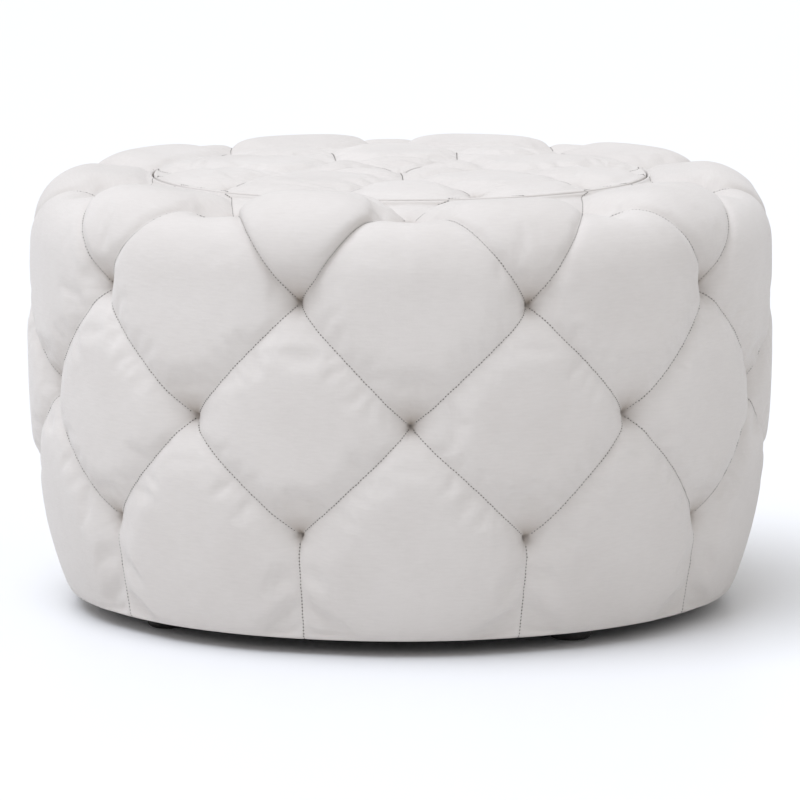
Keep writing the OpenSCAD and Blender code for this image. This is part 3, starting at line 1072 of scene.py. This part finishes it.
def make_well_lining():
    """The lining: up the wall, with slack upright folds and a welted seam at
    the back, then out over the ring as the ledge that the lid lies on."""
    low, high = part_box("well_lining")
    wall_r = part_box("well_floor_pad")[1][0]
    corner = 2 * MM
    outer = [(wall_r, z) for z in np.linspace(low[2], high[2] - corner, 48)]
    outer += arc((wall_r + corner, high[2] - corner), corner, 180, 90, 7)[1:]
    outer += [(r, high[2]) for r in np.linspace(wall_r + corner, high[0], 8)[1:]]
    back = [(high[0], high[2] - 1 * MM), (wall_r + 1 * MM, high[2] - 1 * MM), (wall_r + 1 * MM, low[2])]
    wave = ripples(5, 14, 5, 34, 9)

    def move(r, z, angle, s):
        free = smooth_step(z, low[2] + 4 * MM, low[2] + 50 * MM)
        free *= 1 - smooth_step(z, high[2] - 70 * MM, high[2] - 16 * MM)
        slack = 9 * MM * free * np.clip(wave(angle, s), 0, 1)
        welt = 1.1 * MM * np.exp(-(wrap(angle - math.pi) * r / (5 * MM)) ** 2)
        front_face = s < z_end
        return (slack + welt) * front_face, 0

    z_end = path_lengths(np.array(outer))[-1] - 8 * MM
    obj = lathed("well_lining_cloth", outer + back, LINING, move, 300)
    dressed(obj, "base", "well_lining")


def make_floor_pad():
    """A thin pad in the well, crowned, with a corded edge."""
    low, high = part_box("well_floor_pad")
    r = high[0] - 0.6 * MM
    edge = 3 * MM
    profile = [(0, low[2]), (r - 6 * MM, low[2])] + arc((r - edge, low[2] + edge), edge, -90, 90, 12)
    profile += [(r - edge - 2.5 * MM, low[2] + 4.2 * MM)]
    for t in np.linspace(0.04, 1, 40):
        profile.append(((r - edge - 2.5 * MM) * (1 - t), low[2] + (4.2 + 5 * (1 - (1 - t) ** 5)) * MM))
    wave = ripples(8, 12, 2, 15, 40)

    def move(r_at, z, angle, s):
        top = z > low[2] + 4 * MM
        return 0, top * 1.2 * MM * wave(angle, s) * smooth_step(r_at, 10 * MM, 80 * MM)

    obj = lathed("well_floor_cushion", profile, LINING, move)
    dressed(obj, "base", "well_floor_pad")


def make_disc_sheet(name, node, body, material, pull_points, seed):
    """A round sheet stapled on from below, its edge folded under, with small
    puckers between the staples."""
    low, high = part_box(node)
    r, z0, z1 = high[0], low[2], high[2]
    fold = 12 * MM
    hem_z, sheet_z = z0 + 0.25 * MM, z0 + 0.5 * MM
    profile = [(0, z1), (r - 1 * MM, z1), (r, (hem_z + z1) / 2)]
    profile += [(r - k * MM, hem_z) for k in (0.6, 3, 6, 9, 11.5)]
    profile += [((r - fold) * (1 - share), sheet_z) for share in np.linspace(0, 1, 36)]
    wave = ripples(seed, 12, 3, 22, 30)

    def move(r_at, z, angle, s):
        if z > sheet_z + 0.01 * MM or r_at > r - fold:
            return 0, 0
        pucker = (1 + np.cos(pull_points * angle)) / 2 * math.exp((r_at - r) / (22 * MM))
        return 0, -0.3 * MM * pucker - 0.4 * MM * np.clip(wave(angle, s), 0, 1)

    obj = lathed(name, profile, material, move)
    dressed(obj, body, node)


def make_pull_tab():
    """A ribbed ribbon standing in the gap beside the lid."""
    low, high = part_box("lid_pull_tab")
    bottom, top = low[2], high[2]
    inner_r, thick = LID_R + 0.1 * MM, 0.6 * MM
    half = TAB_WIDTH / 2 / inner_r
    across, tall = 40, 16
    points, faces = [], []
    for layer in (0, 1):
        for j in range(tall + 1):
            for i in range(across + 1):
                angle = HIGH_PANEL + half * (2 * i / across - 1)
                rib = 0.08 * MM * math.cos(j * math.pi)
                r = inner_r + (thick + rib if layer else -rib)
                z = bottom + (top - bottom) * j / tall
                points.append((r * math.sin(angle), -r * math.cos(angle), z))
    row = across + 1
    shell = row * (tall + 1)
    for j in range(tall):
        for i in range(across):
            a = j * row + i
            faces.append((a, a + row, a + row + 1, a + 1))
            faces.append((shell + a, shell + a + 1, shell + a + row + 1, shell + a + row))
    border = list(range(across)) + [across + j * row for j in range(tall)]
    border += [tall * row + i for i in range(across, 0, -1)] + [j * row for j in range(tall, 0, -1)]
    for a, b in zip(border, border[1:] + border[:1]):
        faces.append((a, b, shell + b, shell + a))
    obj = new_object("lid_pull_ribbon", points, faces, COVER)
    add_uv(obj, np.array([(math.atan2(x, -y) * LID_R, z) for x, y, z in points]))
    dressed(obj, "lid", "lid_pull_tab")


# ---------------------------------------------------------------- stage
def make_stage():
    """A plain pale floor under an even pale sky."""
    floor_mesh = bpy.data.meshes.new("floor")
    half = FLOOR_HALF
    floor_mesh.from_pydata([(-half, -half, 0), (half, -half, 0), (half, half, 0), (-half, half, 0)],
                           [], [(0, 1, 2, 3)])
    paint = Shader("pale_floor", FLOOR_COLOUR, 0.4, Specular_IOR_Level=0.3)
    floor_mesh.materials.append(paint.material)
    floor = bpy.data.objects.new("floor", floor_mesh)
    bpy.context.scene.collection.objects.link(floor)
    world = bpy.data.worlds.new("studio")
    bpy.context.scene.world = world
    world.use_nodes = True
    sky = world.node_tree.nodes["Background"]
    sky.inputs["Color"].default_value = (*SKY_COLOUR, 1)
    sky.inputs["Strength"].default_value = SKY


def make_key_light():
    """One large soft source, high at the front left."""
    data = bpy.data.lights.new("key", "SUN")
    data.angle = math.radians(KEY_SPREAD)
    data.energy = KEY_POWER
    data.color = KEY_COLOUR
    lamp = bpy.data.objects.new("key", data)
    lamp.rotation_euler = Vector(KEY_FROM).to_track_quat("Z", "Y").to_euler()
    bpy.context.scene.collection.objects.link(lamp)


def make_camera():
    """The photo's view: from the front, far off and a little above."""
    data = bpy.data.cameras.new("camera")
    data.lens = LENS
    data.sensor_width = SENSOR
    data.clip_start, data.clip_end = 0.1, 100
    camera = bpy.data.objects.new("camera", data)
    camera.location = CAMERA_PLACE
    camera.rotation_euler = (math.radians(90 - CAMERA_DOWN), 0, 0)
    bpy.context.scene.collection.objects.link(camera)
    bpy.context.scene.camera = camera


bpy.context.scene.view_settings.view_transform = "Standard"
make_camera()
make_stage()
make_key_light()
dress_cad_nodes()
make_cover("body_tufted_cover", body_cover_shape(), "base",
           ("body_cover", "side_foam", "rim_foam"), 21)
make_cover("lid_tufted_cover", lid_cover_shape(), "lid", ("lid_cover", "lid_foam"), 22)
make_well_lining()
make_floor_pad()
make_disc_sheet("lid_lining_cloth", "lid_lining", "lid", LINING, 20, 31)
make_disc_sheet("dust_cloth", "dust_cover", "base", DUST, 16, 32)
make_pull_tab()
